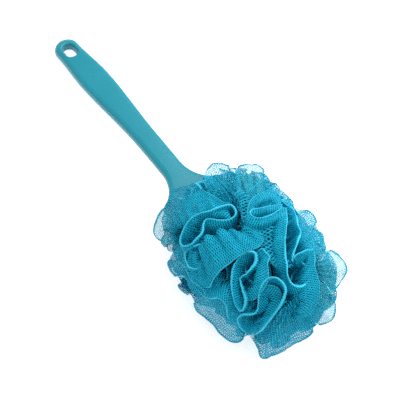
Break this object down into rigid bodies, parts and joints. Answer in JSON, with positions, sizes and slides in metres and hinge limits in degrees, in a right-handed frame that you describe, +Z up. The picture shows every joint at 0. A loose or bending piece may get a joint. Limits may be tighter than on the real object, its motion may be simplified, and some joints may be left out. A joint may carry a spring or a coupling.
{
  "type": "loofah back scrubber",
  "caption": "Long-handled bath scrubber: an arched moulded handle with a hang hole, and an oval pouf of gathered net tied to its hidden paddle.",
  "frame": {"origin": "on the table surface, under the middle of the scrubber's own box", "axes": "+X along the handle towards the pouf, +Z up from the table, with the pouf lying on its back"},
  "size_m": [0.4063, 0.1374, 0.1079],
  "materials": {
    "handle_plastic": "satin moulded polypropylene, teal",
    "net_front": "knitted polyethylene net, cyan blue, slightly glossy strands",
    "net_back": "knitted polyethylene net, cyan blue, slightly glossy strands",
    "tie_cord": "twisted polyester cord, dark teal"
  },
  "bodies": {
    "root": {"handle": "handle_plastic", "net_front_1": "net_front", "net_back_1": "net_back", "tie_cord_1": "tie_cord", "tie_knot_1": "tie_cord", "net_front_2": "net_front", "net_back_2": "net_back", "tie_cord_2": "tie_cord", "tie_knot_2": "tie_cord", "net_front_3": "net_front", "net_back_3": "net_back", "tie_cord_3": "tie_cord", "tie_knot_3": "tie_cord", "net_front_4": "net_front", "net_back_4": "net_back", "tie_cord_4": "tie_cord", "tie_knot_4": "tie_cord", "net_front_5": "net_front", "net_back_5": "net_back", "tie_cord_5": "tie_cord", "tie_knot_5": "tie_cord"}
  },
  "joints": []
}
